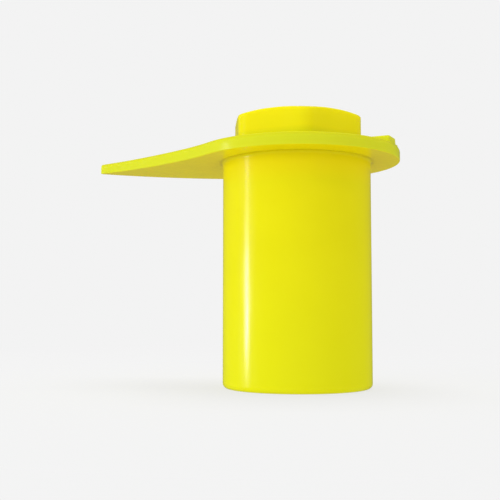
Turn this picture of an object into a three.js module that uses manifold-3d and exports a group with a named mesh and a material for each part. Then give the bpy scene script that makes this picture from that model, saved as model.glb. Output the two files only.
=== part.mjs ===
// Long-reach wheel-nut indicator: a dust cap that grips a wheel nut, with a pointer that shows whether
// the nut has turned. Millimetres, +Z up. The origin is at the centre of the open mouth, on the tube's
// axis, and the pointer reaches along -X.
//
// Four mouldings:
//   reach_tube       open round tube that carries the indicator out of a recessed wheel hole
//   nut_grip_sleeve  twelve-point sleeve pressed into the mouth, which fits over the nut
//   hex_cap          closed hollow hexagon with a round spigot that plugs the tube's upper end
//   pointer_ring     flat pointer plate keyed on the hexagon, with a thumb rib opposite the pointer
import * as THREE from 'three';
import { mergeVertices } from 'three/addons/utils/BufferGeometryUtils.js';
import Module from 'manifold-3d';

const wasm = await Module();
wasm.setup();

// ---- Driving dimensions ---------------------------------------------------------------------------
const TUBE_R = 21; // outside radius of the tube
const BORE_R = 18.2; // inside radius of the tube above the sleeve
const PLATE_Z = 63.5; // underside of the pointer plate, above the mouth
const PLATE_T = 3.4; // thickness of the pointer plate
const PLATE_R = 29.2; // radius of the plate's round part
const HEX_AF = 34.4; // hexagon's width across its flats
const HEX_CORNER_R = 5; // rounding of the hexagon's upright corners
const HEX_TOP_Z = PLATE_Z + 12.8; // closed end of the hexagon
const POINTER_REACH = 67.7; // pointer tip, from the tube's axis
const NUT_AF = 30; // wheel nut's width across its flats

// ---- Working dimensions ---------------------------------------------------------------------------
const FIT_GAP = 0.3; // radial gap between pieces that fit together
const SEAT_GAP = 0.1; // gap between faces that rest on each other
const ROUND_STEPS = 72; // facets round a full circle
const FILLET_STEPS = 5; // facets on a small rounding
const EDGE_STEPS = 8; // points along each straight or gently curved side of the pointer
const EDGE_SEGMENTS = 3; // facets on the plate's rounded edge
const OVERRUN = 1; // how far a cutting tool passes the face that it cuts

const MOUTH_ROUND = 1.4; // rounding of the tube's outer edge at the mouth
const SLEEVE_SEAT_R = 18.8; // counterbore that the sleeve is pressed into
const SLEEVE_SEAT_Z = 22; // end of that counterbore
const SEAT_FLARE = 0.9; // cove that widens the tube's end under the plate
const SEAT_LAND = 0.2; // upright rim above the cove
const REBATE_R = 20; // recess in the tube's end for the cap's flange
const FLANGE_T = 1.4;

const SLEEVE_BOTTOM_Z = 1;
const SLEEVE_PLAY = 0.4; // slack of the sleeve on the nut, across the flats
const SLEEVE_LEAD_IN = 1.2;
const SOCKET_CORNER_R = 0.5;

const CAP_WALL = 2.2;
const SPIGOT_LENGTH = 8.5;
const SPIGOT_WALL = 1.9;
const SPIGOT_LEAD_IN = 0.8;
const HEX_CHAMFER_TOP_R = 16.9; // where the turned chamfer meets the closed end
const HEX_CHAMFER_LOW_R = 19.5;
const HEX_CHAMFER_DROP = 0.9;

const KEY_PLAY = 0.5; // slack of the plate's hexagonal hole on the cap, across the flats
const PLATE_EDGE_R = 0.8; // rounding round the plate's upper edge
const POINTER_HALF_ANGLE = 24 * Math.PI / 180;
const POINTER_TIP_R = 0.9;
const POINTER_BLEND_R = 110; // hollow curve between the pointer's edge and the plate's round part
const POINTER_RISE_FROM = 20; // distance from the axis where the arm begins to rise
const POINTER_RISE_TOP = 1.5; // how far the tip's upper face stands above the plate's
const POINTER_RISE_LOW = 1.9; // the same for the lower face, so that the arm thins towards its tip
const RIB_INNER_X = 19.9;
const RIB_OUTER_X = 28.1;
const RIB_WIDTH = 6.2;
const RIB_HEIGHT = 1.9;
const RIB_DRAFT = 0.3;

// ---- Materials ------------------------------------------------------------------------------------
function plastic(color) {
  return new THREE.MeshStandardMaterial({ color, roughness: 0.42, metalness: 0 });
}

const tubeYellow = plastic(0xe6e11e);
const capYellow = plastic(0xebe620);
const pointerYellow = plastic(0xd8dc3c);
const sleeveYellow = plastic(0xd6cc2a);

// ---- Solids ---------------------------------------------------------------------------------------
function toSolid(geometry) {
  geometry.deleteAttribute('normal');
  geometry.deleteAttribute('uv');
  const merged = mergeVertices(geometry, 1e-4);
  return new wasm.Manifold(new wasm.Mesh({
    numProp: 3,
    vertProperties: Float32Array.from(merged.attributes.position.array),
    triVerts: Uint32Array.from(merged.index.array),
  }));
}

function toGeometry(solid) {
  const { vertProperties, triVerts } = solid.getMesh();
  const geometry = new THREE.BufferGeometry();
  geometry.setAttribute('position', new THREE.BufferAttribute(Float32Array.from(vertProperties), 3));
  geometry.setIndex(new THREE.BufferAttribute(Uint32Array.from(triVerts), 1));
  return geometry;
}

function toMesh(name, geometry, material) {
  geometry.computeVertexNormals();
  const mesh = new THREE.Mesh(geometry, material);
  mesh.name = name;
  return mesh;
}

// A solid turned about Z from [radius, z] corners, listed from the lowest upwards round the outside.
function turned(corners) {
  const profile = corners.map(([radius, z]) => new THREE.Vector2(radius, z));
  const geometry = new THREE.LatheGeometry(profile, ROUND_STEPS);
  geometry.rotateX(Math.PI / 2);
  return toSolid(geometry);
}

function disc(radius, low, high) {
  return turned([[0, low], [radius, low], [radius, high], [0, high]]);
}

function prism(points, low, high) {
  const geometry = new THREE.ExtrudeGeometry(new THREE.Shape(points), {
    depth: high - low,
    bevelEnabled: false,
  });
  geometry.translate(0, 0, low);
  return toSolid(geometry);
}

// ---- Outlines -------------------------------------------------------------------------------------
function arc(centreX, centreY, radius, from, to, steps) {
  const points = [];
  for (let i = 0; i <= steps; i += 1) {
    const angle = from + (to - from) * i / steps;
    points.push(new THREE.Vector2(
      centreX + radius * Math.cos(angle),
      centreY + radius * Math.sin(angle),
    ));
  }
  return points;
}

// A hexagon with rounded corners, two of them on the X axis.
function hexagon(acrossFlats, cornerRadius) {
  const centreDistance = acrossFlats / Math.sqrt(3) - cornerRadius / Math.cos(Math.PI / 6);
  const points = [];
  for (let i = 0; i < 6; i += 1) {
    const angle = i * Math.PI / 3;
    points.push(...arc(
      centreDistance * Math.cos(angle),
      centreDistance * Math.sin(angle),
      cornerRadius,
      angle - Math.PI / 6,
      angle + Math.PI / 6,
      FILLET_STEPS,
    ));
  }
  return points;
}

// The two hexagons, 30 degrees apart, that make a twelve-point socket.
function twelvePoint(acrossFlats, low, high) {
  const first = hexagon(acrossFlats, SOCKET_CORNER_R);
  const second = first.map((point) => point.clone().rotateAround(new THREE.Vector2(), Math.PI / 6));
  return prism(first, low, high).add(prism(second, low, high));
}

// Half of the plate's outline, y >= 0, from the pointer's tip to the far side of the round part.
// The straight edge touches the tip's arc and the hollow blend, and the blend touches the round part.
function plateHalfOutline() {
  const alongEdge = new THREE.Vector2(Math.cos(POINTER_HALF_ANGLE), Math.sin(POINTER_HALF_ANGLE));
  const outward = new THREE.Vector2(-alongEdge.y, alongEdge.x);
  const tipCentre = new THREE.Vector2(-POINTER_REACH + POINTER_TIP_R, 0);
  const edgeStart = tipCentre.clone().addScaledVector(outward, POINTER_TIP_R);

  // The blend's centre is POINTER_BLEND_R outside the edge, and that plus PLATE_R from the axis.
  const base = edgeStart.clone().addScaledVector(outward, POINTER_BLEND_R);
  const halfB = base.dot(alongEdge);
  const reach = PLATE_R + POINTER_BLEND_R;
  const run = -halfB - Math.sqrt(halfB * halfB - base.lengthSq() + reach * reach);
  const centre = base.clone().addScaledVector(alongEdge, run);
  const edgeEnd = edgeStart.clone().addScaledVector(alongEdge, run);
  const onPlate = centre.clone().setLength(PLATE_R);

  const tipAngle = Math.atan2(outward.y, outward.x);
  const tip = arc(tipCentre.x, 0, POINTER_TIP_R, Math.PI, tipAngle, FILLET_STEPS);
  const edge = [];
  for (let i = 1; i < EDGE_STEPS; i += 1) {
    edge.push(edgeStart.clone().lerp(edgeEnd, i / EDGE_STEPS));
  }
  const blendFrom = Math.atan2(edgeEnd.y - centre.y, edgeEnd.x - centre.x);
  const blendTo = Math.atan2(onPlate.y - centre.y, onPlate.x - centre.x);
  const blend = arc(centre.x, centre.y, POINTER_BLEND_R, blendFrom, blendTo, EDGE_STEPS);
  const roundFrom = Math.atan2(onPlate.y, onPlate.x);
  const roundSteps = Math.round(ROUND_STEPS * roundFrom / (2 * Math.PI));
  const round = arc(0, 0, PLATE_R, roundFrom, 0, roundSteps);
  return [...tip, ...edge, ...blend, ...round.slice(1)];
}

function plateOutline() {
  const half = plateHalfOutline();
  const mirrored = half.slice(1, -1).reverse().map((point) => new THREE.Vector2(point.x, -point.y));
  return [...half, ...mirrored].reverse();
}

// ---- Pieces ---------------------------------------------------------------------------------------
function reachTube() {
  const topZ = PLATE_Z - SEAT_GAP;
  const rebateZ = topZ - FLANGE_T - SEAT_GAP;
  const mouthEdge = arc(TUBE_R - MOUTH_ROUND, MOUTH_ROUND, MOUTH_ROUND, -Math.PI / 2, 0, FILLET_STEPS);
  const coveZ = topZ - SEAT_LAND - SEAT_FLARE;
  const cove = arc(TUBE_R + SEAT_FLARE, coveZ, SEAT_FLARE, Math.PI, Math.PI / 2, FILLET_STEPS);
  const outside = [...mouthEdge, ...cove].map((point) => [point.x, point.y]);
  const tube = turned([
    [SLEEVE_SEAT_R, 0],
    ...outside,
    [TUBE_R + SEAT_FLARE, topZ],
    [REBATE_R, topZ],
    [REBATE_R, rebateZ],
    [BORE_R, rebateZ],
    [BORE_R, SLEEVE_SEAT_Z],
    [SLEEVE_SEAT_R, SLEEVE_SEAT_Z],
    [SLEEVE_SEAT_R, 0],
  ]);
  return toMesh('reach_tube', toGeometry(tube), tubeYellow);
}

function nutGripSleeve() {
  const outerR = SLEEVE_SEAT_R - FIT_GAP;
  const topZ = SLEEVE_SEAT_Z - SEAT_GAP;
  const socketAF = NUT_AF + SLEEVE_PLAY;
  const leadInR = socketAF / 2 + SLEEVE_LEAD_IN;
  const leadIn = turned([
    [0, SLEEVE_BOTTOM_Z - OVERRUN],
    [leadInR + OVERRUN, SLEEVE_BOTTOM_Z - OVERRUN],
    [leadInR - SLEEVE_LEAD_IN, SLEEVE_BOTTOM_Z + SLEEVE_LEAD_IN],
    [0, SLEEVE_BOTTOM_Z + SLEEVE_LEAD_IN],
  ]);
  const sleeve = disc(outerR, SLEEVE_BOTTOM_Z, topZ)
    .subtract(twelvePoint(socketAF, SLEEVE_BOTTOM_Z - OVERRUN, topZ + OVERRUN))
    .subtract(leadIn);
  return toMesh('nut_grip_sleeve', toGeometry(sleeve), sleeveYellow);
}

function hexCap() {
  const flangeTopZ = PLATE_Z - SEAT_GAP;
  const flangeLowZ = flangeTopZ - FLANGE_T;
  const spigotLowZ = flangeLowZ - SPIGOT_LENGTH;
  const spigotR = BORE_R - FIT_GAP;
  const flangeR = REBATE_R - FIT_GAP;
  const insideFlangeZ = flangeLowZ + FLANGE_T / 2;

  const plug = turned([
    [0, spigotLowZ],
    [spigotR - SPIGOT_LEAD_IN, spigotLowZ],
    [spigotR, spigotLowZ + 2 * SPIGOT_LEAD_IN],
    [spigotR, flangeLowZ],
    [flangeR, flangeLowZ],
    [flangeR, flangeTopZ],
    [0, flangeTopZ],
  ]);
  const chamferTool = turned([
    [0, flangeLowZ],
    [HEX_CHAMFER_LOW_R, flangeLowZ],
    [HEX_CHAMFER_LOW_R, HEX_TOP_Z - HEX_CHAMFER_DROP],
    [HEX_CHAMFER_TOP_R, HEX_TOP_Z],
    [0, HEX_TOP_Z],
  ]);
  const head = prism(hexagon(HEX_AF, HEX_CORNER_R), insideFlangeZ, HEX_TOP_Z + OVERRUN)
    .intersect(chamferTool);
  const headHollow = prism(
    hexagon(HEX_AF - 2 * CAP_WALL, HEX_CORNER_R - CAP_WALL),
    flangeLowZ,
    HEX_TOP_Z - CAP_WALL,
  );
  const spigotHollow = disc(spigotR - SPIGOT_WALL, spigotLowZ - OVERRUN, insideFlangeZ);
  const cap = plug.add(head).subtract(headHollow).subtract(spigotHollow);
  return toMesh('hex_cap', toGeometry(cap), capYellow);
}

function thumbRib() {
  const topZ = PLATE_Z + PLATE_T + RIB_HEIGHT;
  const lowZ = PLATE_Z + PLATE_T - OVERRUN;
  const profile = new THREE.Shape([
    new THREE.Vector2(RIB_INNER_X, lowZ),
    new THREE.Vector2(RIB_OUTER_X, lowZ),
    new THREE.Vector2(RIB_OUTER_X - RIB_DRAFT, topZ),
    new THREE.Vector2(RIB_INNER_X, topZ),
  ]);
  const geometry = new THREE.ExtrudeGeometry(profile, { depth: RIB_WIDTH, bevelEnabled: false });
  geometry.rotateX(Math.PI / 2);
  geometry.translate(0, RIB_WIDTH / 2, 0);
  return toSolid(geometry);
}

// The plate with its pointer, still level. The bevel rounds both ends, so the extrusion starts lower
// and a square-edged one keeps only the part above the plate's underside.
function levelPlate() {
  const outline = plateOutline();
  const rounded = new THREE.ExtrudeGeometry(new THREE.Shape(outline), {
    depth: PLATE_T,
    bevelThickness: PLATE_EDGE_R,
    bevelSize: PLATE_EDGE_R,
    bevelOffset: -PLATE_EDGE_R,
    bevelSegments: EDGE_SEGMENTS,
  });
  rounded.translate(0, 0, PLATE_Z - PLATE_EDGE_R);
  return toSolid(rounded).intersect(prism(outline, PLATE_Z, PLATE_Z + PLATE_T));
}

// Lifts the pointer towards its tip, on a parabola that starts level with the plate.
function raisePointer(geometry) {
  const { position } = geometry.attributes;
  const span = POINTER_REACH - POINTER_RISE_FROM;
  for (let i = 0; i < position.count; i += 1) {
    const beyond = Math.max(0, -position.getX(i) - POINTER_RISE_FROM) / span;
    const height = (position.getZ(i) - PLATE_Z) / PLATE_T;
    const rise = THREE.MathUtils.lerp(POINTER_RISE_LOW, POINTER_RISE_TOP, height);
    position.setZ(i, position.getZ(i) + rise * beyond * beyond);
  }
}

function pointerRing() {
  const keyHole = prism(
    hexagon(HEX_AF + KEY_PLAY, HEX_CORNER_R + KEY_PLAY / 2),
    PLATE_Z - OVERRUN,
    PLATE_Z + PLATE_T + OVERRUN,
  );
  const ring = levelPlate().subtract(keyHole).add(thumbRib());
  const geometry = toGeometry(ring);
  raisePointer(geometry);
  return toMesh('pointer_ring', geometry, pointerYellow);
}

// ---- Assembly -------------------------------------------------------------------------------------
const indicator = new THREE.Group();
indicator.name = 'wheel_nut_indicator';
indicator.add(reachTube(), nutGripSleeve(), hexCap(), pointerRing());

export default indicator;
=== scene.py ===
"""Long-reach wheel-nut indicator: the looks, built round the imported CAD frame. Metres, +Z up.

Four moulded pieces, each lofted from cross-sections with real edge radii, replace their CAD nodes:
reach_tube_moulding, nut_grip_sleeve_moulding, hex_cap_moulding and pointer_ring_moulding.
"""

import math

import bmesh
import bpy
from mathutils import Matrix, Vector


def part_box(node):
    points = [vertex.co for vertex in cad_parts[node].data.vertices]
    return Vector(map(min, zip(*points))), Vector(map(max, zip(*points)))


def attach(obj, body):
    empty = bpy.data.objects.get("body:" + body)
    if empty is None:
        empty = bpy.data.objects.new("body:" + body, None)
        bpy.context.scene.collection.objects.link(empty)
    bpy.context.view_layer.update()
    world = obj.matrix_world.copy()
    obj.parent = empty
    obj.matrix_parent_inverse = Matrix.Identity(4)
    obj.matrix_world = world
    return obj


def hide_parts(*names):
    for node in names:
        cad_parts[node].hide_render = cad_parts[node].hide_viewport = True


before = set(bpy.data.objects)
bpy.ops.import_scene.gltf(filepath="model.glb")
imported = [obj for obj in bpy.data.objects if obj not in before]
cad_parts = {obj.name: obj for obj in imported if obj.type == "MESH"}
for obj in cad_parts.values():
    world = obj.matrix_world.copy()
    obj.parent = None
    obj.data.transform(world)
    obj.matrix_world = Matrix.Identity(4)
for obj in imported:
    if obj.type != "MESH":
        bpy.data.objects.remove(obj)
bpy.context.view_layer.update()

MM = 0.001
TAU = 2 * math.pi

# How much closer the flange fits its rebate here than the CAD solid, which keeps a wider gap.
FLANGE_GROWTH = 0.2 * MM

# ---- Sizes read from the frame --------------------------------------------------------------------
sleeve_low, sleeve_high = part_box("nut_grip_sleeve")
cap_low, cap_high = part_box("hex_cap")
ring_low, ring_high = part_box("pointer_ring")

PLATE_Z = ring_low[2]
HEX_TOP_Z = cap_high[2]
PLATE_R = ring_high[1]
POINTER_REACH = -ring_low[0]
RIB_TOP_Z = ring_high[2]
FLANGE_R = cap_high[0] + FLANGE_GROWTH

# ---- Sizes of the design that the frame's boxes don't give ----------------------------------------
SEAM = 0.01 * MM
TUBE_R = 21 * MM
BORE_R = 18.2 * MM
SLEEVE_SEAT_R = 18.8 * MM
SLEEVE_SEAT_Z = 22 * MM
MOUTH_ROUND = 1.4 * MM
SEAT_FLARE = 0.9 * MM
SEAT_LAND = 0.01 * MM
REBATE_R = 20 * MM
FLANGE_T = 1.4 * MM
PLATE_T = 3.4 * MM
PLATE_TOP_Z = PLATE_Z + PLATE_T
HEX_AF = 34.4 * MM
HEX_CORNER_R = 5 * MM
SHARPEST_CORNER_R = 0.05 * MM
HEX_CHAMFER_TOP_R = 16.9 * MM
HEX_CHAMFER_SLOPE = 0.34
CAP_WALL = 2.2 * MM
SPIGOT_R = 17.9 * MM
SPIGOT_WALL = 1.9 * MM
SOCKET_AF = 30.4 * MM
KEY_PLAY = 0.3 * MM
TOP_EDGE_IN = 0.8 * MM
TOP_EDGE_DOWN = 1.2 * MM
LOW_EDGE_R = 0.2 * MM
POINTER_HALF_ANGLE = math.radians(24)
POINTER_TIP_R = 0.9 * MM
POINTER_BLEND_R = 110 * MM
POINTER_RISE_FROM = 20 * MM
POINTER_RISE_LOW = 1.9 * MM
POINTER_RISE_TOP = 1.5 * MM
RIB_INNER_X = 19.9 * MM
RIB_OUTER_X = 28.4 * MM
RIB_WIDTH = 6.2 * MM
RIB_DRAFT = 0.15 * MM

# ---- Meshes ---------------------------------------------------------------------------------------


def loft(name, loops, closed=False, capped=False):
    """A smooth-shaded mesh through loops of equal length, each a closed ring of points.

    closed joins the last loop to the first. capped closes both ends on a middle point.
    """
    bm = bmesh.new()
    rings = [[bm.verts.new(point) for point in loop] for loop in loops]
    count = len(rings[0])
    pairs = list(zip(rings, rings[1:]))
    if closed:
        pairs.append((rings[-1], rings[0]))
    for lower, upper in pairs:
        for k in range(count):
            after = (k + 1) % count
            bm.faces.new((lower[k], lower[after], upper[after], upper[k]))
    if capped:
        for ring in (rings[0], rings[-1]):
            middle = sum((v.co for v in ring), Vector()) / count
            hub = bm.verts.new(middle)
            for k in range(count):
                bm.faces.new((ring[k], ring[(k + 1) % count], hub))
    bmesh.ops.recalc_face_normals(bm, faces=bm.faces)
    for face in bm.faces:
        face.smooth = True
    mesh = bpy.data.meshes.new(name)
    bm.to_mesh(mesh)
    bm.free()
    piece = bpy.data.objects.new(name, mesh)
    bpy.context.scene.collection.objects.link(piece)
    return piece


def combine(piece, tool, operation):
    """Joins tool to piece or cuts it away, for good, and deletes tool."""
    modifier = piece.modifiers.new("combine", "BOOLEAN")
    modifier.operation = operation
    modifier.solver = "EXACT"
    modifier.object = tool
    bpy.context.view_layer.update()
    evaluated = piece.evaluated_get(bpy.context.evaluated_depsgraph_get())
    result = bpy.data.meshes.new_from_object(evaluated)
    piece.modifiers.clear()
    piece.data = result
    bpy.data.objects.remove(tool)


def weight_normals(piece):
    """Keeps the flats flat beside their small edge radii."""
    modifier = piece.modifiers.new("flat_faces", "WEIGHTED_NORMAL")
    modifier.weight = 90
    modifier.keep_sharp = True


def quarter(centre_a, centre_b, radius, start, steps=6, turn=math.pi / 2):
    """Points (a, b) along a rounding, from the angle start through turn."""
    return [
        (
            centre_a + radius * math.cos(start + turn * i / steps),
            centre_b + radius * math.sin(start + turn * i / steps),
        )
        for i in range(steps + 1)
    ]


def round_over(inset, drop, steps=5):
    """(inset, drop) pairs round an outer edge, from its side wall to its face."""
    turns = [math.pi / 2 * i / steps for i in range(steps + 1)]
    return [(inset * (1 - math.cos(turn)), drop * (1 - math.sin(turn))) for turn in turns]


def span(low, high, steps):
    """Evenly spaced values between low and high, without the two ends."""
    return [low + (high - low) * i / steps for i in range(1, steps)]


# ---- Outlines -------------------------------------------------------------------------------------


def hexagon_corner(across_flats, corner_r):
    """How far out a corner's rounding is centred, and how far round it reaches from the corner."""
    centre = across_flats / math.sqrt(3) - corner_r / math.cos(math.pi / 6)
    corner_end = math.atan2(corner_r / 2, centre + corner_r * math.cos(math.pi / 6))
    return centre, corner_end


def hexagon_radius(across_flats, corner_r):
    """The distance from the axis to a rounded hexagon's edge as a function of the angle.

    Two of the corners are on the X axis.
    """
    corner_r = max(corner_r, SHARPEST_CORNER_R)
    centre, corner_end = hexagon_corner(across_flats, corner_r)

    def radius(angle):
        from_corner = (angle + math.pi / 6) % (math.pi / 3) - math.pi / 6
        if abs(from_corner) >= corner_end:
            return across_flats / 2 / math.cos(math.pi / 6 - abs(from_corner))
        sideways = centre * math.sin(from_corner)
        return centre * math.cos(from_corner) + math.sqrt(corner_r**2 - sideways**2)

    return radius


def hexagon_angles(across_flats, corner_r, corner_steps=10, flat_steps=12):
    """Angles that follow a rounded hexagon closely: dense at its corners, even on its flats."""
    _, corner_end = hexagon_corner(across_flats, corner_r)
    angles = []
    for i in range(6):
        corner = i * math.pi / 3
        angles += [corner - corner_end + 2 * corner_end * k / corner_steps for k in range(corner_steps)]
        flat_span = math.pi / 3 - 2 * corner_end
        angles += [corner + corner_end + flat_span * k / flat_steps for k in range(flat_steps)]
    return angles


def even_angles(count):
    return [TAU * k / count for k in range(count)]


def polar_loop(angles, radius, z):
    """A ring of points. radius and z are numbers, or functions of the angle."""
    points = []
    for angle in angles:
        r = radius(angle) if callable(radius) else radius
        height = z(angle) if callable(z) else z
        points.append(Vector((r * math.cos(angle), r * math.sin(angle), height)))
    return points


def turned(name, profile, count):
    """A ring-shaped piece turned about the axis from a closed profile of (radius, z)."""
    angles = even_angles(count)
    return loft(name, [polar_loop(angles, radius, z) for radius, z in profile], closed=True)


# ---- Reach tube -----------------------------------------------------------------------------------


def make_reach_tube():
    """One profile round the wall: up its outside from the mouth, over the seat and down its bore."""
    top = PLATE_Z - SEAM
    seat_r = TUBE_R + SEAT_FLARE
    edge = 0.25 * MM
    corner = 0.05 * MM
    rebate_z = top - FLANGE_T - corner
    cove_z = top - SEAT_LAND - SEAT_FLARE
    profile = quarter(SLEEVE_SEAT_R + edge, edge, edge, math.pi, 4)
    profile += quarter(TUBE_R - MOUTH_ROUND, MOUTH_ROUND, MOUTH_ROUND, -math.pi / 2, 10)
    profile += [(TUBE_R, z) for z in span(MOUTH_ROUND, cove_z, 24)]
    profile += quarter(seat_r, cove_z, SEAT_FLARE, math.pi, 8, -math.pi / 2)[:-1]
    profile += [(seat_r - 2 * SEAT_LAND, top - SEAT_LAND), (seat_r, top - SEAT_LAND), (seat_r, top)]
    profile += quarter(REBATE_R + edge, top - edge, edge, math.pi / 2, 3)
    profile += [(REBATE_R, rebate_z)]
    profile += quarter(BORE_R + edge, rebate_z - edge, edge, math.pi / 2, 3)
    profile += [(BORE_R, z) for z in span(rebate_z - edge, SLEEVE_SEAT_Z, 10)]
    profile += [(BORE_R, SLEEVE_SEAT_Z), (SLEEVE_SEAT_R, SLEEVE_SEAT_Z)]
    profile += [(SLEEVE_SEAT_R, z) for z in span(SLEEVE_SEAT_Z, edge, 4)]
    return turned("reach_tube_moulding", profile, 192)


# ---- Twelve-point sleeve --------------------------------------------------------------------------


def make_sleeve():
    bottom, top = sleeve_low[2], sleeve_high[2]
    press_gap = 0.04 * MM
    outer_r = SLEEVE_SEAT_R - press_gap
    edge = 0.3 * MM
    bevel = 0.3 * edge
    lead_in = 1.2 * MM
    lead_in_steps = 6
    point_r = 0.6 * MM
    first = hexagon_radius(SOCKET_AF, point_r)

    def socket(angle):
        return max(first(angle), first(angle + math.pi / 6))

    def flared(depth):
        """The socket where a cone of 45 degrees opens it at the mouth."""
        cone = SOCKET_AF / 2 + lead_in - depth
        return lambda angle: max(socket(angle), cone)

    angles = even_angles(360)
    outside = quarter(outer_r - edge, bottom + edge, edge, -math.pi / 2, 4)
    outside += [(outer_r, z) for z in span(bottom + edge, top - edge, 6)]
    outside += quarter(outer_r - edge, top - edge, edge, 0, 4)
    loops = [polar_loop(angles, radius, z) for radius, z in outside]
    loops += [polar_loop(angles, lambda a: socket(a) + edge, top)]
    loops += [polar_loop(angles, lambda a: socket(a) + bevel, top - bevel)]
    loops += [polar_loop(angles, socket, z) for z in span(top, bottom + lead_in, 8)]
    for step in range(lead_in_steps + 1):
        depth = lead_in * (1 - step / lead_in_steps)
        loops.append(polar_loop(angles, flared(depth), bottom + depth))
    return loft("nut_grip_sleeve_moulding", loops, closed=True)


# ---- Hexagonal cap --------------------------------------------------------------------------------


def make_hex_cap():
    """The closed hexagon, its flange in the tube's rebate and its hollow spigot."""
    flange_top = PLATE_Z - 3 * SEAM
    flange_low = flange_top - FLANGE_T
    spigot_low = cap_low[2]
    top = HEX_TOP_Z
    ceiling = top - CAP_WALL
    spigot_inner = SPIGOT_R - SPIGOT_WALL
    angles = hexagon_angles(HEX_AF, HEX_CORNER_R)
    chamfer_from = top - 2.6 * MM
    edge = 0.5 * MM
    small = 0.25 * MM
    cove = 0.4 * MM
    hollow_edge = 1.2 * MM
    lead_in = 0.8 * MM
    crown_step = 0.7 * MM
    crown_fall = 0.02 * MM

    def hollow_loop(inset, z):
        across = HEX_AF - 2 * CAP_WALL - 2 * inset
        return polar_loop(angles, hexagon_radius(across, HEX_CORNER_R - CAP_WALL - inset), z)

    def hex_loop(inset, z):
        """One ring of the hexagon's outside, its corners lowered by the turned chamfer."""
        radius = hexagon_radius(HEX_AF - 2 * inset, HEX_CORNER_R - inset)
        share = max(0, (z - chamfer_from) / (top - chamfer_from))

        def height(angle):
            return z - share * HEX_CHAMFER_SLOPE * max(0, radius(angle) - HEX_CHAMFER_TOP_R)

        return polar_loop(angles, radius, height)

    # Inside, from the middle of the ceiling down to the spigot's end.
    round_loops = [(spigot_inner * share, ceiling) for share in (0.02, 0.25, 0.5, 0.75)]
    loops = [polar_loop(angles, radius, z) for radius, z in round_loops]
    ceiling_edge = reversed(round_over(hollow_edge, hollow_edge))
    loops += [hollow_loop(inset, ceiling - drop) for inset, drop in ceiling_edge]
    loops += [hollow_loop(0, z) for z in span(ceiling - hollow_edge, flange_top, 6)]
    loops.append(hollow_loop(0, flange_top))
    round_loops = [(spigot_inner, flange_low + FLANGE_T / 2)]
    round_loops += [(spigot_inner, z) for z in span(flange_low, spigot_low, 5)]
    round_loops += quarter(spigot_inner + small, spigot_low + small, small, math.pi, 3)

    # Outside, up the spigot and round the flange.
    round_loops += [(SPIGOT_R - lead_in - small, spigot_low), (SPIGOT_R - lead_in, spigot_low + small)]
    round_loops += [(SPIGOT_R - small / 5, spigot_low + 2 * lead_in)]
    round_loops += [(SPIGOT_R, z) for z in span(spigot_low + 2 * lead_in, flange_low, 5)]
    round_loops += [(SPIGOT_R, flange_low)]
    round_loops += quarter(FLANGE_R - small, flange_low + small, small, -math.pi / 2, 3)
    round_loops += quarter(FLANGE_R - small, flange_top - small, small, 0, 3)
    loops += [polar_loop(angles, radius, z) for radius, z in round_loops]

    # Up the hexagon, over its edge and in to the gate mark in the middle of its top.
    loops += [hex_loop(-growth, flange_top + rise) for rise, growth in round_over(cove, cove, 4)]
    loops += [hex_loop(0, z) for z in span(flange_top + cove, top - edge, 14)]
    loops += [hex_loop(inset, top - drop) for inset, drop in round_over(edge, edge, 6)]
    loops += [hex_loop(edge + crown_step * k, top - crown_fall * k) for k in range(1, 5)]

    # (radius, depth) in millimetres: a shallow dish, and the gate mark in a ring round the axis.
    dish = [(13, 0.1), (10, 0.12), (7, 0.13), (5, 0.13), (3.8, 0.13), (3.55, 0.18), (3.4, 0.4)]
    nub = [(2.4, 0.5), (1.2, 0.5), (1.0, 0.45), (0.85, 0.28), (0.7, 0.2), (0.3, 0.18)]
    loops += [polar_loop(angles, radius * MM, top - depth * MM) for radius, depth in dish + nub]
    return loft("hex_cap_moulding", loops, capped=True)


# ---- Pointer ring ---------------------------------------------------------------------------------


def plate_half_outline(tip_steps=8, side_steps=40, blend_steps=24, round_steps=96):
    """(x, y, normal x, normal y) along the plate's edge, y >= 0, from the tip to the +X side."""
    along = Vector((math.cos(POINTER_HALF_ANGLE), math.sin(POINTER_HALF_ANGLE)))
    outward = Vector((-along.y, along.x))
    tip = Vector((-POINTER_REACH + POINTER_TIP_R, 0))
    edge_start = tip + outward * POINTER_TIP_R
    base = edge_start + outward * POINTER_BLEND_R
    half_b = base.dot(along)
    reach = PLATE_R + POINTER_BLEND_R
    run = -half_b - math.sqrt(half_b**2 - base.length_squared + reach**2)
    blend = base + along * run
    edge_end = edge_start + along * run
    tip_turn = math.atan2(outward.y, outward.x)

    points = []
    for i in range(tip_steps + 1):
        angle = math.pi + (tip_turn - math.pi) * i / tip_steps
        normal = Vector((math.cos(angle), math.sin(angle)))
        points.append((*(tip + normal * POINTER_TIP_R), *normal))
    for i in range(1, side_steps):
        points.append((*edge_start.lerp(edge_end, i / side_steps), *outward))
    start = math.atan2(edge_end.y - blend.y, edge_end.x - blend.x)
    end = math.atan2(-blend.y, -blend.x)
    for i in range(blend_steps + 1):
        angle = start + (end - start) * i / blend_steps
        inward = Vector((math.cos(angle), math.sin(angle)))
        points.append((*(blend + inward * POINTER_BLEND_R), *-inward))
    round_start = math.atan2(blend.y, blend.x)
    for i in range(1, round_steps + 1):
        angle = round_start * (1 - i / round_steps)
        normal = Vector((math.cos(angle), math.sin(angle)))
        points.append((*(normal * PLATE_R), *normal))
    return points


def plate_outline():
    half = plate_half_outline()
    mirrored = [(x, -y, nx, -ny) for x, y, nx, ny in reversed(half[1:-1])]
    return half + mirrored


def pointer_rise(point):
    """How far the arm has risen there. Its lower face rises more, so the arm thins to its tip."""
    beyond = max(0, -point.x - POINTER_RISE_FROM) / (POINTER_REACH - POINTER_RISE_FROM)
    share = min(1, (point.z - PLATE_Z) / PLATE_T)
    return (POINTER_RISE_LOW + (POINTER_RISE_TOP - POINTER_RISE_LOW) * share) * beyond**2


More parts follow.
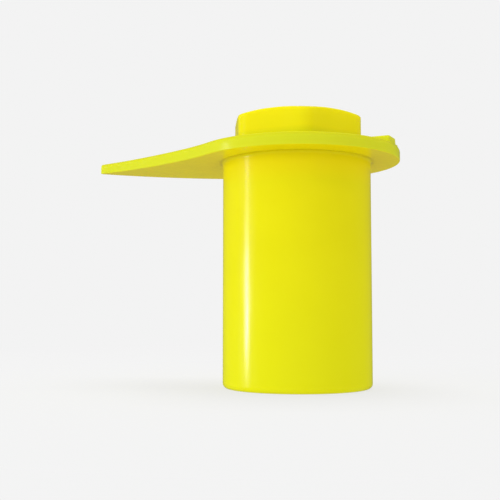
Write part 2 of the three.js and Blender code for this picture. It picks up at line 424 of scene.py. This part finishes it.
def make_plate():
    low, high = PLATE_Z, PLATE_TOP_Z
    top_edge = round_over(TOP_EDGE_IN, TOP_EDGE_DOWN, 7)
    low_edge = round_over(LOW_EDGE_R, LOW_EDGE_R, 4)
    hole_edge = 0.3 * MM
    hole_round = round_over(hole_edge, hole_edge, 4)
    outline = plate_outline()
    hole = hexagon_radius(HEX_AF + KEY_PLAY, HEX_CORNER_R + KEY_PLAY / 2)

    def outer(inset, z):
        return [Vector((x - nx * inset, y - ny * inset, z)) for x, y, nx, ny in outline]

    def inner(growth, z):
        points = []
        for x, y, _, _ in outline:
            angle = math.atan2(y, x)
            r = hole(angle) + growth
            points.append(Vector((r * math.cos(angle), r * math.sin(angle), z)))
        return points

    def across(start, end, steps):
        """Rings from one loop to another, without those two."""
        return [[a.lerp(b, share) for a, b in zip(start, end)] for share in span(0, 1, steps)]

    loops = across(inner(hole_edge, high), outer(TOP_EDGE_IN, high), 20)
    loops += [outer(inset, high - drop) for inset, drop in reversed(top_edge)]
    loops += [outer(0, z) for z in span(high - TOP_EDGE_DOWN, low + LOW_EDGE_R, 3)]
    loops += [outer(inset, low + drop) for inset, drop in low_edge]
    loops += across(outer(LOW_EDGE_R, low), inner(hole_edge, low), 24)
    loops += [inner(growth, low + drop) for growth, drop in reversed(hole_round)]
    loops.append(inner(0, (low + high) / 2))
    loops += [inner(growth, high - drop) for growth, drop in hole_round]
    for loop in loops:
        for point in loop:
            point.z += pointer_rise(point)
    return loft("pointer_ring_moulding", loops, closed=True)


def rounded_rectangle(x_low, x_high, half_width, corner, z):
    """A ring of points round an upright rib."""
    points = []
    corners = (
        (x_high, half_width, 0),
        (x_low, half_width, 1),
        (x_low, -half_width, 2),
        (x_high, -half_width, 3),
    )
    for x, y, turn in corners:
        centre_x = x - math.copysign(corner, x - (x_low + x_high) / 2)
        centre_y = y - math.copysign(corner, y)
        for a, b in quarter(centre_x, centre_y, corner, turn * math.pi / 2, 5):
            points.append(Vector((a, b, z)))
    return points


def make_rib():
    low = PLATE_TOP_Z
    root = 0.5 * MM
    cove = 0.4 * MM
    edge = 0.2 * MM
    corner = 0.5 * MM
    side_draft = 0.1 * MM
    half = RIB_WIDTH / 2

    def section(z, grow):
        share = (z - low) / (RIB_TOP_Z - low)
        outer_x = RIB_OUTER_X - RIB_DRAFT * share + grow
        return rounded_rectangle(RIB_INNER_X - grow, outer_x, half - side_draft * share + grow, corner, z)

    loops = [section(low - root, cove)]
    loops += [section(low + rise, growth) for rise, growth in round_over(cove, cove)]
    loops += [section(RIB_TOP_Z - drop, -inset) for inset, drop in round_over(edge, edge)]
    loops.append(section(RIB_TOP_Z, -half / 2))
    return loft("rib_tool", loops, capped=True)


def make_pointer_ring():
    """The plate with its rib, and the four shallow round marks that the mould's ejectors leave."""
    ring = make_plate()
    combine(ring, make_rib(), "UNION")
    mark_r = 2 * MM
    mark_depth = 0.15 * MM
    mark_ring_r = 24.3 * MM
    mark_turns = (60, -60, 128, -128)
    profile = ((mark_r, -mark_depth), (mark_r, 0), (mark_r + mark_depth, mark_depth))
    for degrees in mark_turns:
        turn = math.radians(degrees)
        centre = Vector((mark_ring_r * math.cos(turn), mark_ring_r * math.sin(turn), PLATE_TOP_Z))
        loops = [
            [centre + point for point in polar_loop(even_angles(40), radius, z)] for radius, z in profile
        ]
        combine(ring, loft("ejector_tool", loops, capped=True), "DIFFERENCE")
    return ring


# ---- Materials ------------------------------------------------------------------------------------

CLOUD_SCALE = 55
WAVE_SCALE = 85
MARK_SCALE = 900
GRAIN_SCALE = 2600
WAVE_HEIGHT = 0.4 * MM
FINE_HEIGHT = 0.05 * MM
WAVE_STRENGTH = 0.2
GRAIN_STRENGTH = 0.012
MARK_STRENGTH = 0.015
SMOOTHEST, ROUGHEST = 0.16, 0.26
CLOUDS_BETWEEN = (0.35, 0.7)
MARKS_BETWEEN = (0.3, 0.7)
POINTED_BETWEEN = (0.51, 0.6)
# Strongest mix of the edge colour: wear, and painted shade on the pointer.
MAX_EDGE_WEAR_AND_SHADE = 0.3
# How far up the tube the painted floor light reaches, as a share of the plate's height.
FLOOR_LIGHT_REACH = 0.8
# Facing range over which the painted glow takes over from the flat underside.
SIDE_GLOW_FACING = (-0.97, -0.85)
# Facing range over which the painted shade of upward faces comes in.
UPWARD_SHADE_FACING = (0.1, 0.5)
LIGHT_TRAVEL_RGB = (1.0, 0.9, 0.12)
TRANSLUCENCY = 0.35
PLASTIC_IOR = 1.45
REFLECTION_LEVEL = 0.12
PULL_DRAG = (1, 1, 0.06)
BODY_DEPTH = 2.5 * MM
SLEEVE_DEPTH = 2 * MM


def nodes_of(name):
    material = bpy.data.materials.new(name)
    material.use_nodes = True
    tree = material.node_tree
    tree.nodes.clear()
    return material, tree


def noise(tree, vector, scale, detail, roughness=0.5):
    node = tree.nodes.new("ShaderNodeTexNoise")
    node.inputs["Scale"].default_value = scale
    node.inputs["Detail"].default_value = detail
    node.inputs["Roughness"].default_value = roughness
    tree.links.new(vector, node.inputs["Vector"])
    return node.outputs["Fac"]


def remap(tree, value, low, high, to_low, to_high):
    node = tree.nodes.new("ShaderNodeMapRange")
    for key, number in zip(("From Min", "From Max", "To Min", "To Max"), (low, high, to_low, to_high)):
        node.inputs[key].default_value = number
    tree.links.new(value, node.inputs["Value"])
    return node.outputs["Result"]


def mix_colour(tree, factor, first, second):
    node = tree.nodes.new("ShaderNodeMix")
    node.data_type = "RGBA"
    for socket, value in ((node.inputs[6], first), (node.inputs[7], second)):
        if isinstance(value, tuple):
            socket.default_value = (*value, 1)
        else:
            tree.links.new(value, socket)
    tree.links.new(factor, node.inputs[0])
    return node.outputs[2]


def stretched(tree, vector, scale):
    node = tree.nodes.new("ShaderNodeMapping")
    node.inputs["Scale"].default_value = scale
    tree.links.new(vector, node.inputs["Vector"])
    return node.outputs["Vector"]


def bump(tree, height, strength, distance, normal=None):
    node = tree.nodes.new("ShaderNodeBump")
    node.inputs["Strength"].default_value = strength
    node.inputs["Distance"].default_value = distance
    tree.links.new(height, node.inputs["Height"])
    if normal is not None:
        tree.links.new(normal, node.inputs["Normal"])
    return node.outputs["Normal"]


def ranged(tree, place, axis, low, high):
    """0 to 1 between two values of a place, or of a direction, along one axis of the object."""
    split = tree.nodes.new("ShaderNodeSeparateXYZ")
    tree.links.new(place, split.inputs["Vector"])
    return remap(tree, split.outputs[axis], low, high, 0, 1)


def moulded_plastic(
    name, body, deep, edge, depth, drag=(1, 1, 1), painted_floor_light=None, root=None, painted_side_glow=None, top=None
):
    """Soft satin polyethylene, a little translucent.

    body, deep and edge are its colours on the flats, in the cloudier patches and on thin edges: worn on
    the tube, cap and sleeve, and painted shade on the pointer, dulling the highlight along its top edge.
    depth is how far light travels in it. drag stretches the fine marks that the mould leaves along its
    pull. The other colours are each optional, and each is painted light: painted_floor_light is a
    greener tone towards a tube's mouth, for the neutral light the floor bounces up; root as (colour, z
    where it starts, z where it is full) is painted shade beside the plate, warm bounce light on the
    tube under it and a darker foot on the boss; painted_side_glow is a paler, greener glow painted on
    every face but the flat underside; and top is painted shade on an upper face, against the overhead
    light.
    """
    material, tree = nodes_of(name)
    output = tree.nodes.new("ShaderNodeOutputMaterial")
    shader = tree.nodes.new("ShaderNodeBsdfPrincipled")
    tree.links.new(shader.outputs["BSDF"], output.inputs["Surface"])
    coordinates = tree.nodes.new("ShaderNodeTexCoord")
    place = coordinates.outputs["Object"]
    facing = coordinates.outputs["Normal"]

    clouds = remap(tree, noise(tree, place, CLOUD_SCALE, 3), *CLOUDS_BETWEEN, 0, 1)
    colour = mix_colour(tree, clouds, body, deep)
    # Painted light: a greener tone towards the tube's mouth, for the neutral light the floor bounces up.
    if painted_floor_light:
        colour = mix_colour(tree, ranged(tree, place, "Z", 0, FLOOR_LIGHT_REACH * PLATE_Z), painted_floor_light, colour)
    # Painted shade beside the plate: warmer under the plate on the tube, for the light bounced between
    # them, and darker at the boss's foot.
    if root:
        painted_plate_shade, plate_shade_from, plate_shade_full = root
        colour = mix_colour(tree, ranged(tree, place, "Z", plate_shade_from, plate_shade_full), colour, painted_plate_shade)
    # Painted glow: a paler, greener colour on every face but the flat underside.
    if painted_side_glow:
        colour = mix_colour(tree, ranged(tree, facing, "Z", *SIDE_GLOW_FACING), colour, painted_side_glow)
    # Painted shade: a darker colour on upward faces, against the overhead light.
    if top:
        colour = mix_colour(tree, ranged(tree, facing, "Z", *UPWARD_SHADE_FACING), colour, top)
    # Edge colour on pointed edges: wear on the tube, cap and sleeve, and painted shade on the pointer
    # that dulls the highlight along its top edge.
    pointiness = tree.nodes.new("ShaderNodeNewGeometry").outputs["Pointiness"]
    edge_wear_and_shade = remap(tree, pointiness, *POINTED_BETWEEN, 0, MAX_EDGE_WEAR_AND_SHADE)
    colour = mix_colour(tree, edge_wear_and_shade, colour, edge)
    tree.links.new(colour, shader.inputs["Base Color"])

    marks = noise(tree, stretched(tree, place, drag), MARK_SCALE, 4, 0.6)
    gloss = remap(tree, marks, *MARKS_BETWEEN, SMOOTHEST, ROUGHEST)
    tree.links.new(gloss, shader.inputs["Roughness"])

    waves = bump(tree, noise(tree, place, WAVE_SCALE, 1), WAVE_STRENGTH, WAVE_HEIGHT)
    grain = bump(tree, noise(tree, place, GRAIN_SCALE, 3), GRAIN_STRENGTH, FINE_HEIGHT, waves)
    drawn = bump(tree, marks, MARK_STRENGTH, FINE_HEIGHT, grain)
    tree.links.new(drawn, shader.inputs["Normal"])

    shader.inputs["Subsurface Weight"].default_value = TRANSLUCENCY
    shader.inputs["Subsurface Radius"].default_value = LIGHT_TRAVEL_RGB
    shader.inputs["Subsurface Scale"].default_value = depth
    shader.inputs["IOR"].default_value = PLASTIC_IOR
    shader.inputs["Specular IOR Level"].default_value = REFLECTION_LEVEL
    return material


def make_materials():
    tube = moulded_plastic(
        "tube_polyethylene",
        body=(0.87, 0.79, 0.004),
        deep=(0.84, 0.76, 0.003),
        edge=(0.87, 0.83, 0.03),
        depth=BODY_DEPTH,
        drag=PULL_DRAG,
        # Painted light: greener towards the mouth, for the floor's neutral bounce light.
        painted_floor_light=(0.82, 0.8, 0.006),
        # Painted shade: warmer under the plate, for the light bounced between the plate and the tube.
        root=((0.95, 0.78, 0.003), PLATE_Z - 8 * MM, PLATE_Z - 1 * MM),
    )
    cap = moulded_plastic(
        "cap_polyethylene",
        body=(0.9, 0.79, 0.006),
        deep=(0.87, 0.77, 0.005),
        edge=(0.88, 0.84, 0.03),
        depth=BODY_DEPTH,
        drag=PULL_DRAG,
        # Painted shade: the boss darker at its foot, just above the plate.
        root=((0.72, 0.7, 0.005), PLATE_TOP_Z + 4 * MM, PLATE_TOP_Z + 2 * MM),
        # Painted shade on the top faces.
        top=(0.78, 0.7, 0.006),
    )
    pointer = moulded_plastic(
        "pointer_polyethylene",
        body=(0.88, 0.76, 0.003),
        deep=(0.86, 0.74, 0.003),
        # Painted shade: darker edges dull the highlight along the plate's top edge.
        edge=(0.68, 0.68, 0.02),
        depth=BODY_DEPTH,
        # Painted glow: paler and greener on the sides.
        painted_side_glow=(0.7, 0.72, 0.02),
        # Painted shade on the upper face.
        top=(0.58, 0.57, 0.01),
    )
    sleeve = moulded_plastic(
        "sleeve_polyethylene",
        body=(0.72, 0.64, 0.01),
        deep=(0.66, 0.58, 0.008),
        edge=(0.8, 0.74, 0.04),
        depth=SLEEVE_DEPTH,
        drag=PULL_DRAG,
    )
    return {"tube": tube, "cap": cap, "pointer": pointer, "sleeve": sleeve}


# ---- Stage ----------------------------------------------------------------------------------------

CAMERA_TURN = math.radians(22.62)
CAMERA_DISTANCE = 241.8 * MM
CAMERA_BELOW_PLATE = 42.4 * MM
CAMERA_TILT = math.radians(4.19)
CAMERA_PAN = math.radians(3.16)
CAMERA_LENS = 61.3
SENSOR_WIDTH = 36
BACKDROP = (0.896, 0.896, 0.896)
WORLD_LIGHT = 0.8
WORLD_REFLECTED = 0.15
FLOOR_GLOW = 0.975
FLOOR_COLOUR = (0.72, 0.72, 0.72)
FLOOR_SHADE = 0.2
FLOOR_RADII = (0.001, 0.02, 0.05, 0.1, 0.2, 0.35, 0.6)
FLOOR_DROP = 0.02 * MM
FADE_FROM, FADE_TO = 0.06, 0.3
WARM = (1, 0.96, 0.9)
COOL = (0.88, 1, 1)


def around(turn, distance, z):
    """A point at that turn about the axis: 0 is on the -Y side, positive goes towards +X."""
    return Vector((distance * math.sin(turn), -distance * math.cos(turn), z))


def make_camera():
    data = bpy.data.cameras.new("camera")
    data.lens = CAMERA_LENS
    data.sensor_width = SENSOR_WIDTH
    data.clip_start = 10 * MM
    camera = bpy.data.objects.new("camera", data)
    camera.location = around(CAMERA_TURN, CAMERA_DISTANCE, PLATE_Z - CAMERA_BELOW_PLATE)
    camera.rotation_euler = (math.pi / 2 + CAMERA_TILT, 0, CAMERA_TURN + CAMERA_PAN)
    bpy.context.scene.collection.objects.link(camera)
    bpy.context.scene.camera = camera


def area_light(name, turn_from_camera, distance, z, size, power, colour=(1, 1, 1)):
    data = bpy.data.lights.new(name, "AREA")
    data.shape = "RECTANGLE"
    data.size, data.size_y = size
    data.energy = power
    data.color = colour
    lamp = bpy.data.objects.new(name, data)
    lamp.location = around(CAMERA_TURN + math.radians(turn_from_camera), distance, z)
    aim = Vector((0, 0, HEX_TOP_Z / 2)) - lamp.location
    lamp.rotation_euler = aim.to_track_quat("-Z", "Y").to_euler()
    bpy.context.scene.collection.objects.link(lamp)
    return lamp


def make_lights():
    """Broad soft lights that leave no highlight, and strips that only show as a broken highlight.

    Each has its turn from the camera in degrees, distance, height, width and length, and power.
    """
    broad = [
        area_light("key", -28, 0.5, 0.42, (0.25, 0.12), 0.22, WARM),
        area_light("key_low", -55, 0.5, 0.12, (0.25, 0.16), 0.55, COOL),
        area_light("edge_left", -115, 0.5, 0.2, (0.25, 0.16), 0.2),
        area_light("overhead", 180, 0.15, 1, (0.6, 0.6), 6.2),
    ]
    for lamp in broad:
        lamp.visible_glossy = False
    strips = [
        area_light("strip_whole", -80, 0.42, 0.02, (0.012, 0.22), 0.1),
        area_light("strip_middle", -80, 0.42, 0.025, (0.012, 0.09), 1.0),
        area_light("strip_upper", -80, 0.42, 0.127, (0.012, 0.025), 0.1),
    ]
    for lamp in strips:
        lamp.visible_diffuse = False
    make_world()
    bpy.context.scene.view_settings.view_transform = "Standard"


def make_world():
    """A pale backdrop that lights the object less than it shows, as a lit wall far behind would."""
    world = bpy.data.worlds.new("studio")
    world.use_nodes = True
    tree = world.node_tree
    seen = tree.nodes["Background"]
    seen.inputs["Color"].default_value = (*BACKDROP, 1)
    lighting = tree.nodes.new("ShaderNodeBackground")
    lighting.inputs["Color"].default_value = (1, 1, 1, 1)
    lighting.inputs["Strength"].default_value = WORLD_LIGHT
    reflected = tree.nodes.new("ShaderNodeBackground")
    reflected.inputs["Color"].default_value = (1, 1, 1, 1)
    reflected.inputs["Strength"].default_value = WORLD_REFLECTED
    ray = tree.nodes.new("ShaderNodeLightPath")
    lit = tree.nodes.new("ShaderNodeMixShader")
    tree.links.new(ray.outputs["Is Glossy Ray"], lit.inputs["Fac"])
    tree.links.new(lighting.outputs["Background"], lit.inputs[1])
    tree.links.new(reflected.outputs["Background"], lit.inputs[2])
    choose = tree.nodes.new("ShaderNodeMixShader")
    tree.links.new(ray.outputs["Is Camera Ray"], choose.inputs["Fac"])
    tree.links.new(lit.outputs["Shader"], choose.inputs[1])
    tree.links.new(seen.outputs["Background"], choose.inputs[2])
    tree.links.new(choose.outputs["Shader"], tree.nodes["World Output"].inputs["Surface"])
    bpy.context.scene.world = world


def make_floor():
    """A pale floor, lit evenly from below like a light table, so that only a soft shadow shows.

    It fades into the backdrop, so that no horizon shows.
    """
    floor = loft("floor", [polar_loop(even_angles(96), radius, 0) for radius in FLOOR_RADII])
    floor.location.z = -FLOOR_DROP
    floor.visible_glossy = False
    material, tree = nodes_of("pale_floor")
    output = tree.nodes.new("ShaderNodeOutputMaterial")
    glow = tree.nodes.new("ShaderNodeEmission")
    glow.inputs["Color"].default_value = (*BACKDROP, 1)
    glow.inputs["Strength"].default_value = FLOOR_GLOW
    diffuse = tree.nodes.new("ShaderNodeBsdfDiffuse")
    diffuse.inputs["Color"].default_value = (*FLOOR_COLOUR, 1)
    surface = tree.nodes.new("ShaderNodeMixShader")
    surface.inputs["Fac"].default_value = FLOOR_SHADE
    tree.links.new(glow.outputs["Emission"], surface.inputs[1])
    tree.links.new(diffuse.outputs["BSDF"], surface.inputs[2])
    clear = tree.nodes.new("ShaderNodeBsdfTransparent")
    fade = tree.nodes.new("ShaderNodeMixShader")
    length = tree.nodes.new("ShaderNodeVectorMath")
    length.operation = "LENGTH"
    tree.links.new(tree.nodes.new("ShaderNodeTexCoord").outputs["Object"], length.inputs[0])
    distance = remap(tree, length.outputs["Value"], FADE_FROM, FADE_TO, 0, 1)
    tree.links.new(distance, fade.inputs["Fac"])
    tree.links.new(surface.outputs["Shader"], fade.inputs[1])
    tree.links.new(clear.outputs["BSDF"], fade.inputs[2])
    tree.links.new(fade.outputs["Shader"], output.inputs["Surface"])
    floor.data.materials.append(material)


# ---- Assembly -------------------------------------------------------------------------------------


def place(piece, node, body, slot, material):
    """Gives a moulding its material, and puts it on its body instead of the CAD node."""
    piece.data.materials.clear()
    piece.data.materials.append(material)
    weight_normals(piece)
    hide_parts(node)
    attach(piece, body)


make_camera()
make_lights()
make_floor()
materials = make_materials()
place(make_reach_tube(), "reach_tube", "tube", "tube_plastic", materials["tube"])
place(make_sleeve(), "nut_grip_sleeve", "tube", "sleeve_plastic", materials["sleeve"])
place(make_hex_cap(), "hex_cap", "cap", "cap_plastic", materials["cap"])
place(make_pointer_ring(), "pointer_ring", "pointer", "pointer_plastic", materials["pointer"])
